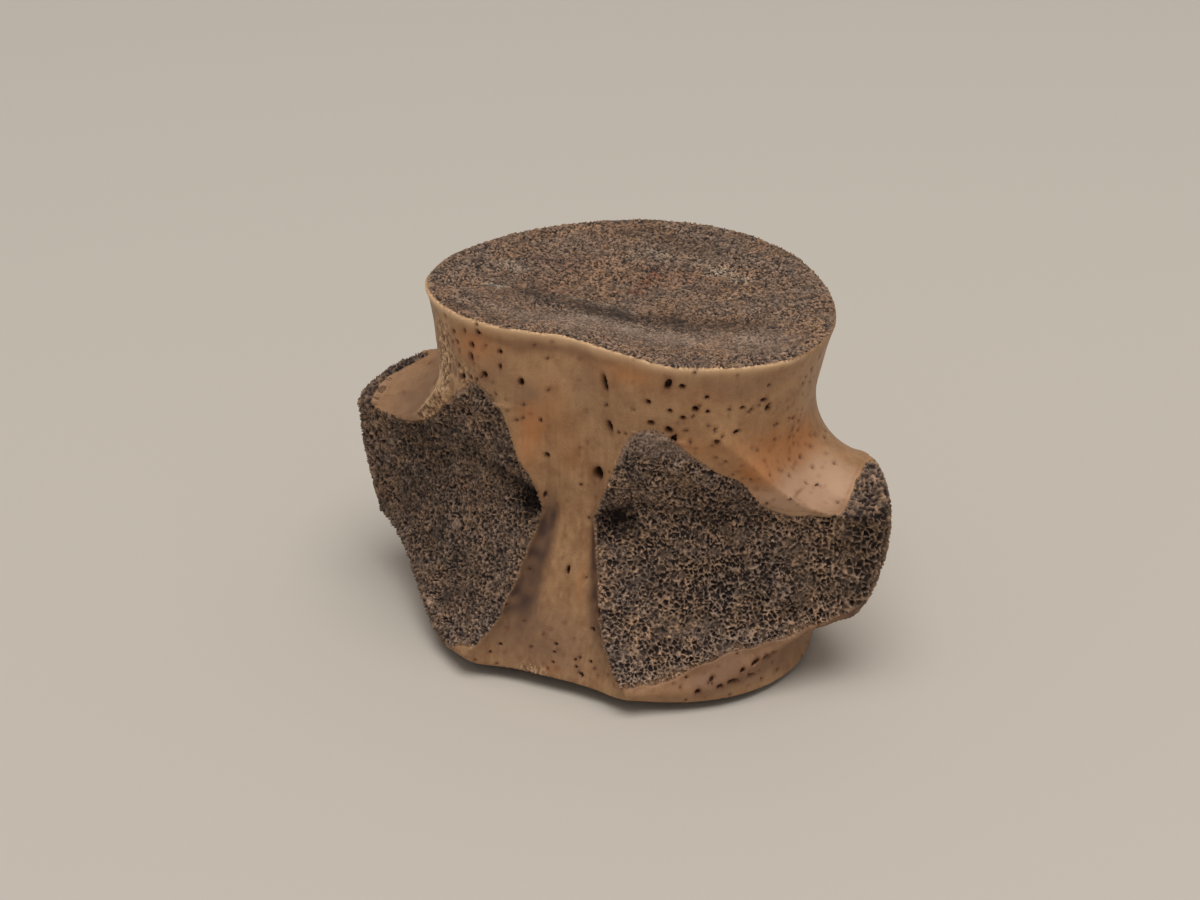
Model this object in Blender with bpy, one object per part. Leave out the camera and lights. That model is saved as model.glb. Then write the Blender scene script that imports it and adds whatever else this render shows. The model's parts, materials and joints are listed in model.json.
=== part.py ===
"""Fossil vertebra of a champsosaur: the solid bone of one centrum, standing on its lower joint face.

Model frame: metres, +Z up along the length of the centrum. +X is the animal's side and -Y its back,
where the floor of the neural canal runs between the two rough facets that carried the lost arch.
The origin is at the middle of the bottom of the bone's bounding box.
All sizes below are in millimetres and angles in degrees. An angle round the bone is counted from
the back (-Y) and is positive on both sides, unless it is called signed: then it is positive on +X.
"""

import bmesh
import bpy
import numpy as np

MM = 0.001

# Length of the centrum and its two joint faces
LENGTH = 22.8
TOP_CENTRE_X = 0.3
TOP_CENTRE_Y = 4.0
BASE_CENTRE_Y = 2.7
# Each rim is a mean radius, then the cosine terms of 1, 2, 3 and 4 times the angle
TOP_RIM = (12.25, -0.18, -1.05, -0.97, -0.16)
BASE_RIM = (13.25, 0.28, -0.47, -0.65, -0.24)
TOP_SLOPE_X = -0.024  # the upper face isn't quite square to the length
TOP_SLOPE_Y = -0.012
TOP_DISH = 0.9  # depth of the upper face's hollow
TOP_DISH_POWER = 1.5
RIM_HOLLOW = (-0.45, -10.0, 14.0)  # depth, signed angle, width of a worn place in the upper rim
RIM_BULGE = (0.5, 31.0, 10.0)  # height, signed angle, width of a swelling beside it
RIM_MARKS = 0.3  # part of the length over which a mark in a rim fades out
BASE_LIFT_BACK = 0.95  # how far the lower rim stands off the ground under the canal
BASE_LIFT = 0.45  # and elsewhere
BASE_LIFT_POWER = 8
# Worn places of the lower rim, each a depth, signed angle and width: under the canal, the left
# facet and the right flange
BASE_WEAR = ((-0.7, 3.0, 16.0), (-2.3, -66.0, 20.0), (-0.45, 108.0, 22.0))
BASE_FLAT = 0.78  # part of the lower face's radius that is flat on the ground

# The waist between the joint faces
WAIST_SIDE = 1.6
WAIST_BELLY = 2.0
WAIST_SHARPNESS = 2.6  # over 2 keeps the waist wide and flares it near the rims
WAIST_BACK = (1.15, 12.5, 4.5)  # depth, height, spread of the hollow along the canal
WAIST_BACK_POWER = 4  # keeps that hollow to the back
KEEL = 0.45  # low keel along the belly side
KEEL_WIDTH = 16.0

# Floor of the neural canal, an hourglass between the arch facets
CANAL_NARROW_HEIGHT = 11.3
CANAL_HALF_WIDTH = 1.95
CANAL_WIDEN_UP = 0.37  # millimetres of half width gained for each millimetre of height
CANAL_WIDEN_DOWN = 0.24
CANAL_FAN_START = 6.0
CANAL_FAN = 0.07
CANAL_EDGE_Y = -6.55
CANAL_EDGE_UP = -0.12  # slope of the canal's edges above and below the narrows
CANAL_EDGE_DOWN = -0.42
CANAL_BEND = 0.4  # how softly the two slopes meet
CANAL_SINK = 0.42  # how far the floor lies below the edges at the narrows
CANAL_SINK_GAIN = 0.075  # what each millimetre towards the ends adds to that
CANAL_TROUGH_POWER = 4  # flattens the floor between the edges
CANAL_RIDGE = (0.25, 10.3, 6.5)  # height of the middle ridge, where it is highest, its spread
CANAL_RIDGE_SHARE = 0.38  # its width as part of the floor's
LEFT_GROOVE = (0.3, -0.72, 0.24)  # depth of a groove beside the ridge, place and width as parts of the floor's
RIGHT_GROOVE = (0.24, 0.58, 0.2)
GROOVE_MIDDLE = 10.8  # height at which the grooves are deepest
GROOVE_SPREAD = 5.0

# Arch facets: slope away from the canal's edge, by height, and the dark pit at the narrows
FACET_SLOPE = ((2.0, 0.64), (5.0, 0.62), (7.0, 0.53), (11.0, 0.385), (13.5, 0.36), (19.5, 0.28))
PIT_DEPTH = 0.9
PIT_HEIGHT = 11.1
PIT_OUT = 0.85  # distance from the canal's edge
PIT_SPREAD = 1.4
BROKEN_SINK = 0.12  # how far the broken surface lies under the outer bone round it
LUMP_HEIGHT = 0.22  # its mounds and hollows, of which the smoothing leaves about half
LUMP_WAVES = ((1.0, 3.6, 0.3, 0.0), (0.6, 5.3, -0.5, 1.3))  # share, length, lean and start of each pattern
BROKEN_START = 1.2  # distance from the canal's edge over which all this starts
BROKEN_EDGE = 1.6  # and depth under the facet's other edges

# Flanges at the sides, which carry the rib facets
FLANGE_REACH = 19.4
FLANGE_HEIGHT = 10.6  # height at which they reach furthest
FLANGE_ROUND_UP = 0.0212  # how they draw in above and below that height
FLANGE_ROUND_DOWN = 0.053
FLANGE_SPAN = ((0.0, 1.0), (80.0, 1.0), (85.0, 0.8), (91.0, 0.64), (98.0, 0.46), (108.0, 0.2),
               (120.0, 0.04), (130.0, 0.0), (180.0, 0.0))
UPPER_EDGE = ((0.0, 19.3), (25.0, 19.3), (34.0, 18.4), (44.0, 16.6), (52.0, 14.7), (60.0, 13.1),
              (67.0, 12.4), (74.0, 12.5), (80.0, 13.6), (86.0, 15.0), (92.0, 15.2), (98.0, 14.2),
              (108.0, 12.4), (180.0, 11.5))
RIGHT_SHELF_DROP = (-1.1, 85.0, 21.0)  # the right shelf's edge hangs lower at the back
LEFT_FLANGE_GAIN = (0.16, -90.0, 15.0)  # how much further the left flange reaches, signed angle, width
LOWER_EDGE = ((0.0, 1.2), (20.0, 1.4), (28.0, 1.85), (50.0, 3.0), (73.0, 4.8), (90.0, 5.1), (180.0, 5.4))
SHELF_FILLET = 4.5  # height of the hollow sweep from the shelf up to the neck
UNDER_FILLET = 3.4

# Rounding of the edges
FACET_EDGE = 0.45
FLANGE_EDGE = 1.2
FLANGE_EDGE_START = 16.0  # distance from the middle plane where the rounding starts to grow
FLANGE_EDGE_GROWTH = 2.0
RIM_EDGE = 0.35

# Mesh of the skin
COLUMNS = 112
WALL_ROWS = 35
FACE_ROWS = 7
PROFILE_STEPS = 260
FLANGE_COLUMNS = (0.7, 79.0, 16.0)  # how much closer the columns stand round the flanges, angle, width
SPARE_COLUMNS = 0.5  # how much thinner they stand on the belly side
SPARE_START = 95.0
SPARE_GROWTH = 35.0
SMOOTHING = 0.35
SMOOTHING_ROUNDS = 4
TABLE_ROUNDING = 0.03  # part of a table's span over which its corners are rounded
SEARCH_FROM = 3.0  # a point that is always inside the bone, and one that is always outside
SEARCH_TO = 24.0
SEARCH_ROUNDS = 30

BONE_COLOUR = (0.36, 0.23, 0.13, 1.0)
BONE_ROUGHNESS = 0.62


def rim_radius(terms, angle):
    """Radius of a joint face's outline at an angle in radians."""
    return sum(term * np.cos(order * angle) for order, term in enumerate(terms))


def bump(value, height, middle, width):
    """A smooth bump of a height round a middle."""
    return height * np.exp(-(((value - middle) / width) ** 2))


def smooth_step(value):
    value = np.clip(value, 0.0, 1.0)
    return value * value * (3.0 - 2.0 * value)


def along(table, value):
    """Value of a short table at each point, with the corners rounded by averaging near by."""
    places, heights = np.array(table).T
    reach = TABLE_ROUNDING * (places[-1] - places[0])
    offsets = np.linspace(-reach, reach, 5)
    return np.mean([np.interp(value + offset, places, heights) for offset in offsets], axis=0)


def hollow_sweep(share):
    """Quarter of an ellipse, hollow, from 1 at the edge of the shelf to 0 on the neck."""
    rest = 1.0 - np.clip(share, 0.0, 1.0)
    return 1.0 - np.sqrt(np.clip(1.0 - rest * rest, 0.0, 1.0))


def smaller(first, second, rounding):
    """The smaller of two margins, with a round edge where they are alike."""
    overlap = np.clip(rounding - np.abs(first - second), 0.0, None) / rounding
    return np.minimum(first, second) - overlap * overlap * rounding / 4.0


def axis_x(height):
    return TOP_CENTRE_X * height / LENGTH


def axis_y(height):
    return BASE_CENTRE_Y + (TOP_CENTRE_Y - BASE_CENTRE_Y) * height / LENGTH


def spool_radius(signed_angle, height):
    """Radius of the centrum's drum, without the canal, facets and flanges."""
    share = np.clip(height / LENGTH, 0.0, 1.0)
    degrees = np.degrees(signed_angle)
    worn = bump(degrees, *RIM_HOLLOW) + bump(degrees, *RIM_BULGE)
    top = rim_radius(TOP_RIM, signed_angle) + worn * smooth_step(1.0 - (1.0 - share) / RIM_MARKS)
    worn = sum(bump(degrees, *place) for place in BASE_WEAR)
    base = rim_radius(BASE_RIM, signed_angle) + worn * smooth_step(1.0 - share / RIM_MARKS)
    radius = base + (top - base) * share
    back = (0.5 + 0.5 * np.cos(signed_angle)) ** WAIST_BACK_POWER
    belly = smooth_step((np.abs(degrees) - 90.0) / 90.0)
    waist = WAIST_SIDE * (1.0 - back) + (WAIST_BELLY - WAIST_SIDE) * belly
    radius -= waist * (1.0 - np.abs(2.0 * share - 1.0) ** WAIST_SHARPNESS)
    radius -= back * bump(height, *WAIST_BACK)
    return radius + bump(np.abs(degrees), KEEL, 180.0, KEEL_WIDTH) * np.sin(np.pi * share)


def canal_half_width(height):
    """Half the width of the canal's floor."""
    up = np.clip(height - CANAL_NARROW_HEIGHT, 0.0, None)
    down = np.clip(CANAL_NARROW_HEIGHT - height, 0.0, None)
    fan = np.clip(CANAL_FAN_START - height, 0.0, None)
    return CANAL_HALF_WIDTH + CANAL_WIDEN_UP * up + CANAL_WIDEN_DOWN * down + CANAL_FAN * fan * fan


def canal_edge_y(height):
    """How far back the edges of the canal lie. They rise from the narrows to both ends."""
    rise = height - CANAL_NARROW_HEIGHT
    soft = np.sqrt(rise * rise + 4.0 * CANAL_BEND * CANAL_BEND)
    up = (soft + rise) / 2.0 - CANAL_BEND
    down = (soft - rise) / 2.0 - CANAL_BEND
    return CANAL_EDGE_Y + CANAL_EDGE_UP * up + CANAL_EDGE_DOWN * down


def facet_y(x, height):
    """The surface of the arch facets, hollow along their length, with a pit at the canal's narrows."""
    beyond = np.abs(x) - canal_half_width(height)
    y = canal_edge_y(height) + along(FACET_SLOPE, height) * beyond
    pit = bump(height, PIT_DEPTH, PIT_HEIGHT, PIT_SPREAD) * bump(beyond, 1.0, PIT_OUT, PIT_SPREAD)
    return y + pit


def broken_depth(x, height):
    """How far the broken surface lies under the facets' plain one, with mounds about 2.6 mm apart."""
    depth = np.full_like(height, BROKEN_SINK)
    for share, length, lean, start in LUMP_WAVES:
        turn = 2.0 * np.pi / length
        wave = np.sin(turn * (x + lean * height) + start) * np.sin(turn * (height - lean * x))
        depth += LUMP_HEIGHT * share * wave
    return depth * smooth_step((np.abs(x) - canal_half_width(height)) / BROKEN_START)


def canal_y(x, height):
    """The canal's floor: a shallow trough between its edges, with a ridge and two grooves along it."""
    signed_share = np.clip(x / canal_half_width(height), -1.0, 1.0)
    sink = CANAL_SINK + CANAL_SINK_GAIN * np.abs(height - CANAL_NARROW_HEIGHT)
    ridge = bump(height, *CANAL_RIDGE) * bump(signed_share, 1.0, 0.0, CANAL_RIDGE_SHARE)
    grooves = bump(signed_share, *LEFT_GROOVE) + bump(signed_share, *RIGHT_GROOVE)
    grooves = grooves * bump(height, 1.0, GROOVE_MIDDLE, GROOVE_SPREAD)
    held = 1.0 - np.abs(signed_share) ** CANAL_TROUGH_POWER
    return canal_edge_y(height) + (sink + grooves) * held - ridge


def back_y(x, height):
    """How far back the bone's back surface lies: the canal's floor, then the facets."""
    in_canal = np.abs(x) < canal_half_width(height)
    return np.where(in_canal, canal_y(x, height), facet_y(x, height))


def flange_reach(height):
    """How far out the flanges reach at a height."""
    above = np.clip(height - FLANGE_HEIGHT, 0.0, None)
    below = np.clip(FLANGE_HEIGHT - height, 0.0, None)
    return FLANGE_REACH - FLANGE_ROUND_UP * above ** 3 - FLANGE_ROUND_DOWN * below ** 2


def buttress(signed_angle, height, drum):
    """What stands out from the drum: the stumps of the arch and the flanges."""
    signed = np.degrees(signed_angle)
    degrees = np.abs(signed)
    upper = along(UPPER_EDGE, degrees) + bump(signed, *RIGHT_SHELF_DROP)
    lower = along(LOWER_EDGE, degrees)
    held = np.clip(height, lower, upper)
    extra = np.clip(flange_reach(held) - drum, 0.0, None) * along(FLANGE_SPAN, degrees)
    extra = extra * (1.0 + bump(signed, *LEFT_FLANGE_GAIN))
    extra = extra * hollow_sweep((height - upper) / SHELF_FILLET)
    return extra * hollow_sweep((lower - height) / UNDER_FILLET)


def margin(x, y, height):
    """How deep a point lies inside the bone, below 0 outside it."""
    across = x - axis_x(height)
    forward = y - axis_y(height)
    signed_angle = np.arctan2(across, -forward)
    radius = np.hypot(across, forward)
    drum = spool_radius(signed_angle, height)
    outer = drum + buttress(signed_angle, height, drum) - radius
    slope = along(FACET_SLOPE, height)
    behind = (y - back_y(x, height)) / np.sqrt(1.0 + slope * slope)
    behind -= broken_depth(x, height) * smooth_step((outer - behind) / BROKEN_EDGE)
    grown = smooth_step((np.abs(x) - FLANGE_EDGE_START) / FLANGE_EDGE_GROWTH)
    rounding = FACET_EDGE + (FLANGE_EDGE - FACET_EDGE) * grown
    return smaller(outer, behind, rounding)


def wall_radius(signed_angle, height):
    """Distance from the axis to the bone's surface, found by halving."""
    inside = np.full_like(height, SEARCH_FROM)
    outside = np.full_like(height, SEARCH_TO)
    for _ in range(SEARCH_ROUNDS):
        middle = (inside + outside) / 2.0
        x = axis_x(height) + middle * np.sin(signed_angle)
        y = axis_y(height) - middle * np.cos(signed_angle)
        within = margin(x, y, height) > 0.0
        inside = np.where(within, middle, inside)
        outside = np.where(within, outside, middle)
    return inside


def top_rim_height(x, y):
    return LENGTH + TOP_SLOPE_X * x + TOP_SLOPE_Y * y


def base_rim_height(signed_angle):
    back = (0.5 + 0.5 * np.cos(signed_angle)) ** BASE_LIFT_POWER
    return BASE_LIFT + (BASE_LIFT_BACK - BASE_LIFT) * back


def column_points(signed_angle):
    """Points of one column of the skin, from the middle of the lower face to that of the upper one."""
    low = base_rim_height(signed_angle)
    edge_radius = wall_radius(signed_angle, np.array([LENGTH]))[0]
    edge_x = TOP_CENTRE_X + edge_radius * np.sin(signed_angle)
    edge_y = TOP_CENTRE_Y - edge_radius * np.cos(signed_angle)
    high = top_rim_height(edge_x, edge_y)

    fine = np.linspace(low, high, PROFILE_STEPS)
    radius = wall_radius(signed_angle, fine)
    radius = radius - RIM_EDGE * hollow_sweep((high - fine) / RIM_EDGE)
    radius = radius - RIM_EDGE * hollow_sweep((fine - low) / RIM_EDGE)
    walked = np.concatenate([[0.0], np.cumsum(np.hypot(np.diff(fine), np.diff(radius)))])
    even = np.linspace(0.0, walked[-1], WALL_ROWS + 1)
    wall_height = np.interp(even, walked, fine)
    wall_out = np.interp(even, walked, radius)

    shares = np.linspace(0.0, 1.0, FACE_ROWS + 1)[:-1]
    base_out = wall_out[0] * shares
    base_height = low * smooth_step((shares - BASE_FLAT) / (1.0 - BASE_FLAT))
    top_share = shares[::-1]
    top_out = wall_out[-1] * top_share
    top_x = TOP_CENTRE_X + top_out * np.sin(signed_angle)
    top_y = TOP_CENTRE_Y - top_out * np.cos(signed_angle)
    top_height = top_rim_height(top_x, top_y) - TOP_DISH * (1.0 - top_share ** 2) ** TOP_DISH_POWER

    out = np.concatenate([base_out, wall_out, top_out])
    height = np.concatenate([base_height, wall_height, top_height])
    level = np.concatenate([np.zeros(len(base_out)), wall_height, np.full(len(top_out), LENGTH)])
    x = axis_x(level) + out * np.sin(signed_angle)
    y = axis_y(level) - out * np.cos(signed_angle)
    return np.stack([x, y, height], axis=1)


def column_angle(share):
    """Signed angle of a column, from -1 to 1 round the bone, closer together on the back and flanges."""
    degrees = np.linspace(0.0, 180.0, 181)
    crowding = 1.0 + bump(degrees, *FLANGE_COLUMNS)
    crowding -= SPARE_COLUMNS * smooth_step((degrees - SPARE_START) / SPARE_GROWTH)
    passed = np.concatenate([[0.0], np.cumsum((crowding[1:] + crowding[:-1]) / 2.0)])
    found = np.interp(abs(share), passed / passed[-1], degrees)
    return np.sign(share) * np.radians(found)


def place_in_net(vertex):
    """Column and ring of a vertex of the sphere. Both poles belong to column 0."""
    across = np.hypot(vertex.co.x, vertex.co.y)
    rings = 2 * FACE_ROWS + WALL_ROWS
    ring = round(rings * (0.5 + np.arctan2(vertex.co.z, across) / np.pi))
    if ring in (0, rings):
        return 0, ring
    return round(np.arctan2(vertex.co.x, -vertex.co.y) * COLUMNS / (2.0 * np.pi)), ring


def build_skin(name):
    """Closed skin of the bone: a UV sphere whose rings and columns are laid onto the bone."""
    skin = bmesh.new()
    bmesh.ops.create_uvsphere(skin, u_segments=COLUMNS, v_segments=2 * FACE_ROWS + WALL_ROWS, radius=1.0)
    columns = {}
    wall = []
    for vertex in skin.verts:
        column, ring = place_in_net(vertex)
        if column not in columns:
            columns[column] = column_points(column_angle(2.0 * column / COLUMNS))
        vertex.co = columns[column][ring] * MM
        if FACE_ROWS < ring < FACE_ROWS + WALL_ROWS:
            wall.append(vertex)
    for _ in range(SMOOTHING_ROUNDS):
        bmesh.ops.smooth_vert(skin, verts=wall, factor=SMOOTHING, use_axis_x=True, use_axis_y=True,
                              use_axis_z=True)
    bmesh.ops.triangulate(skin, faces=skin.faces)
    bmesh.ops.recalc_face_normals(skin, faces=skin.faces)
    mesh = bpy.data.meshes.new(name)
    skin.to_mesh(mesh)
    skin.free()
    return mesh


def settle_on_origin(mesh):
    """Moves the mesh so that its bounding box stands on the origin."""
    points = np.empty(3 * len(mesh.vertices))
    mesh.vertices.foreach_get("co", points)
    points = points.reshape(-1, 3)
    middle = (points.min(axis=0) + points.max(axis=0)) / 2.0
    middle[2] = points[:, 2].min()
    mesh.vertices.foreach_set("co", (points - middle).ravel())
    mesh.update()


def bone_material():
    """Tan fossil bone with a faint satin surface."""
    material = bpy.data.materials.new("fossil_bone")
    material.use_nodes = True
    shader = material.node_tree.nodes["Principled BSDF"]
    shader.inputs["Base Color"].default_value = BONE_COLOUR
    shader.inputs["Roughness"].default_value = BONE_ROUGHNESS
    shader.inputs["Metallic"].default_value = 0.0
    material.diffuse_color = BONE_COLOUR
    return material


def main():
    for leftover in list(bpy.data.objects):
        bpy.data.objects.remove(leftover, do_unlink=True)
    mesh = build_skin("centrum")
    settle_on_origin(mesh)
    mesh.materials.append(bone_material())
    mesh.shade_smooth()
    bone = bpy.data.objects.new("centrum", mesh)
    vertebra = bpy.data.collections.new("champsosaur_vertebra")
    bpy.context.scene.collection.children.link(vertebra)
    vertebra.objects.link(bone)


main()
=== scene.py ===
"""Looks of the fossil champsosaur vertebra: smooth tan outer bone round porous joint faces and arch facets.

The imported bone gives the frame. A fine net is laid over it, settled on the same curved surfaces with
crisper edges, given its pores, blood vessel holes and lips, and parted along the natural edges.
Lengths are in millimetres and angles in degrees, unless a line says otherwise. Points are in the
bone's own coordinates: x from the middle plane of the canal, y forward from the back, z up the length.
An angle round the bone is counted from the back and is positive on both sides, unless it is called
signed: then it is positive on the +X side.
"""

import itertools
import json

import bmesh
import bpy
import numpy as np
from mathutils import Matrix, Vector

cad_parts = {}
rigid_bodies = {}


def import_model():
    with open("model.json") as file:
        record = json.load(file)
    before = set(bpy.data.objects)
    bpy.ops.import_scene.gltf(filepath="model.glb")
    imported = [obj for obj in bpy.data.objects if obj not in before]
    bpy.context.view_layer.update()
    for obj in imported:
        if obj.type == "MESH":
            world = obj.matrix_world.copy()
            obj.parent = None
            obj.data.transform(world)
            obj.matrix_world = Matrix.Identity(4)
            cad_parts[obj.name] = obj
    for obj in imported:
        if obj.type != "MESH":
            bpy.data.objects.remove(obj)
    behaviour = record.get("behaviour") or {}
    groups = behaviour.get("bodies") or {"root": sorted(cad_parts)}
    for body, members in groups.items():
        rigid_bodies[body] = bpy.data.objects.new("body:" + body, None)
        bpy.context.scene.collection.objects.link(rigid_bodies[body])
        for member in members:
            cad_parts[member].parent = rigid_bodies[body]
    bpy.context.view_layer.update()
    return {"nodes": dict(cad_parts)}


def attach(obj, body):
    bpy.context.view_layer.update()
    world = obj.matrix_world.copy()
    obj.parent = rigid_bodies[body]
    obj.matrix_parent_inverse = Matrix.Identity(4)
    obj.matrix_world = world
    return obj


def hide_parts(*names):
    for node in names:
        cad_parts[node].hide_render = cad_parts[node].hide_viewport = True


for leftover in list(bpy.data.objects):
    bpy.data.objects.remove(leftover, do_unlink=True)

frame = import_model()

MM = 0.001
MIDDLE = np.array([0.210, -2.928, 0.0])  # where the bone's own coordinates start in the model frame
CORE = np.array([0.0, 3.3, 11.0])  # middle of the bone, where its parts meet

# Camera of the photograph, in the bone's own coordinates
CAMERA_PLACE = (59.5, -129.54, 83.88)
CAMERA_TURN = (63.5, 0.0, 25.0)
CAMERA_LENS = 74.25
CAMERA_SENSOR = 36.0

# Length of the centrum and its two joint faces
LENGTH = 22.8
TOP_CENTRE_X = 0.3
TOP_CENTRE_Y = 4.0
BASE_CENTRE_Y = 2.7
# Each rim is a mean radius, then the cosine terms of 1, 2, 3 and 4 times the angle
TOP_RIM = (12.25, -0.18, -1.05, -0.97, -0.16)
BASE_RIM = (13.25, 0.28, -0.47, -0.65, -0.24)
TOP_SLOPE_X = -0.024
TOP_SLOPE_Y = -0.012
TOP_DISH = 0.9
TOP_DISH_POWER = 1.5
RIM_HOLLOW = (-0.45, -10.0, 14.0)  # depth, signed angle, width of a worn place in the upper rim
RIM_BULGE = (0.5, 31.0, 10.0)
RIM_MARKS = 0.3  # part of the length over which a mark in a rim fades out
BASE_LIFT_BACK = 0.95  # how far the lower rim stands off the ground under the canal
BASE_LIFT = 0.45
BASE_LIFT_POWER = 8
BASE_WEAR = ((-0.7, 3.0, 16.0), (-2.3, -66.0, 20.0), (-0.45, 108.0, 22.0))
BASE_FLAT = 0.78  # part of the lower face's radius that is flat on the ground

# The waist between the joint faces
WAIST_SIDE = 1.6
WAIST_BELLY = 2.0
WAIST_SHARPNESS = 2.6
WAIST_BACK = (1.15, 12.5, 4.5)  # depth, height, spread of the hollow along the canal
WAIST_BACK_POWER = 4
KEEL = 0.45
KEEL_WIDTH = 16.0

# Floor of the neural canal, an hourglass between the arch facets
CANAL_NARROW_HEIGHT = 11.3
CANAL_HALF_WIDTH = 1.95
CANAL_WIDEN_UP = 0.37
CANAL_WIDEN_DOWN = 0.24
CANAL_FAN_START = 6.0
CANAL_FAN = 0.07
CANAL_EDGE_Y = -6.55
CANAL_EDGE_UP = -0.12
CANAL_EDGE_DOWN = -0.42
CANAL_EDGE_RETREAT = 0.55  # how far the edges run back into the neck at the top
CANAL_EDGE_RETREAT_REACH = 2.5
CANAL_EDGE_RETREAT_HEIGHTS = (14.5, 17.8)  # where that starts and is full
CANAL_BEND = 0.4
CANAL_SINK = 0.42
CANAL_SINK_GAIN = 0.075
CANAL_TROUGH_POWER = 4
CANAL_RIDGE = (0.25, 10.3, 6.5)
CANAL_RIDGE_SHARE = 0.38
LEFT_GROOVE = (0.3, -0.72, 0.24)
RIGHT_GROOVE = (0.24, 0.58, 0.2)
GROOVE_MIDDLE = 10.8
GROOVE_SPREAD = 5.0

# Arch facets: slope away from the canal's edge, by height, and the dark pit at the narrows
FACET_SLOPE = ((2.0, 0.64), (5.0, 0.62), (7.0, 0.53), (11.0, 0.385), (13.5, 0.36), (19.5, 0.28))
PIT_DEPTH = 0.9
PIT_HEIGHT = 11.1
PIT_OUT = 0.85
PIT_SPREAD = 1.4
BROKEN_SINK = 0.12  # how far the broken surface lies under the outer bone round it
LUMP_HEIGHT = 0.13
LUMP_WAVES = ((1.0, 3.6, 0.3, 0.0), (0.6, 5.3, -0.5, 1.3))
BROKEN_START = 1.2
BROKEN_EDGE = 1.6

# Flanges at the sides
FLANGE_REACH = 19.4
FLANGE_HEIGHT = 10.6
FLANGE_ROUND_UP = 0.0212
FLANGE_ROUND_DOWN = 0.053
FLANGE_SPAN = ((0.0, 1.0), (80.0, 1.0), (85.0, 0.8), (91.0, 0.64), (98.0, 0.46), (108.0, 0.2),
               (120.0, 0.04), (130.0, 0.0), (180.0, 0.0))
UPPER_EDGE = ((0.0, 19.3), (25.0, 19.3), (34.0, 18.4), (44.0, 16.6), (52.0, 14.7), (60.0, 13.1),
              (67.0, 12.4), (74.0, 12.5), (80.0, 13.6), (86.0, 15.0), (92.0, 15.2), (98.0, 14.2),
              (108.0, 12.4), (180.0, 11.5))
RIGHT_SHELF_DROP = (-1.1, 85.0, 21.0)
LEFT_FLANGE_GAIN = (0.16, -90.0, 15.0)
LOWER_EDGE = ((0.0, 1.2), (20.0, 1.4), (28.0, 1.85), (50.0, 3.0), (73.0, 4.8), (90.0, 5.1),
              (180.0, 5.4))
SHELF_FILLET = 4.5
UNDER_FILLET = 3.4
SHELF_CORNER_LEFT = 0.75  # how far the shelves' outer corners are rounded back
SHELF_CORNER_RIGHT = 0.3
SHELF_CORNER_REACH = 1.6
SHELF_CORNER_SIDE = (14.5, 17.0)  # distances from the middle plane where that starts and is full
LEFT_SHELF_RIM = (0.55, -94.0, 6.0)  # height, signed angle, width of the raised far margin

# Rounding of the edges
FACET_EDGE = 0.16
FACET_EDGE_LOW = 0.45
FACET_EDGE_TOP = 0.9
FACET_EDGE_TOP_HEIGHTS = (14.5, 17.0)  # where the facets' upper ends start to run out, and have
FACET_EDGE_TOP_SIDE = 9.5
CANAL_EDGE_TOP = 0.12
FLANGE_EDGE = 1.4
FLANGE_EDGE_START = 16.0
FLANGE_EDGE_GROWTH = 2.0
RIM_EDGE = 0.22
TABLE_ROUNDING = 0.03  # part of a table's span over which its corners are rounded

# Outline of the rough facets on each side: height of their upper and lower edges by distance from
# the middle plane, and how far the outer bone stands back from the canal's geometric edge
RIGHT_FACET_TOP = ((2.6, 15.0), (3.2, 16.4), (4.0, 17.5), (4.8, 18.2), (5.7, 18.3), (6.5, 17.8),
                   (7.3, 17.2), (8.3, 16.2), (9.4, 15.3), (10.5, 14.6), (11.3, 13.5), (11.8, 12.7),
                   (12.6, 12.2), (15.4, 12.1), (16.0, 12.6))
LEFT_FACET_TOP = ((3.1, 13.5), (3.6, 15.2), (4.1, 16.4), (4.8, 17.5), (5.6, 18.3), (6.6, 18.8),
                  (7.4, 18.6), (8.3, 17.7), (9.3, 16.5), (10.5, 15.2), (11.8, 14.1), (13.0, 13.6),
                  (14.2, 13.2), (15.3, 13.1), (17.6, 13.5))
RIGHT_FACET_LOW = ((4.8, 2.3), (6.0, 1.9), (7.3, 2.0), (9.2, 2.85), (11.2, 3.5), (13.7, 4.1),
                   (16.0, 5.0), (18.0, 6.0))
LEFT_FACET_LOW = ((4.8, 2.3), (5.6, 2.0), (6.4, 1.8), (7.0, 1.5), (7.8, 1.0), (9.0, 0.6), (18.0, 0.6))
CANAL_RIM_RIGHT = 0.25
CANAL_RIM_LEFT = 0.05

# Rough zone round the flanges' ends, where the ribs sat
TIP_START_RIGHT = 16.1
TIP_START_LEFT = ((-9.0, 17.4), (0.2, 17.5), (1.1, 17.2), (1.85, 16.4), (2.45, 15.7), (3.4, 14.9))
TIP_END_Y = 3.6
EDGE_WANDER = 0.12  # how far the rough zones' edges wander

# Spongy bone
FACET_CELL = 0.3  # spacing of the pores on the arch facets, on the joint faces and at the flanges' ends
FACE_CELL = 0.27
TIP_CELL = 1.45 * FACET_CELL
TIP_CELL_SIDE = (15.6, 17.0)  # distances from the middle plane where the wider pores start and are alone
PORE_WIDTH = 0.25  # where a pore is full, as a share of a cell
PORE_LEAST = 0.7  # the shallowest pore, where the deepest is 1
PORE_MEAN = 0.6  # the depth that lies on the bone's plain surface
PORE_WARP = 0.11
PORE_RELIEF = 0.16  # from a strut to a full pore on the joint faces, and what the others add to it
FACET_RELIEF = 0.1
TIP_RELIEF = 0.08
PIT_RELIEF = 0.3

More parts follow.
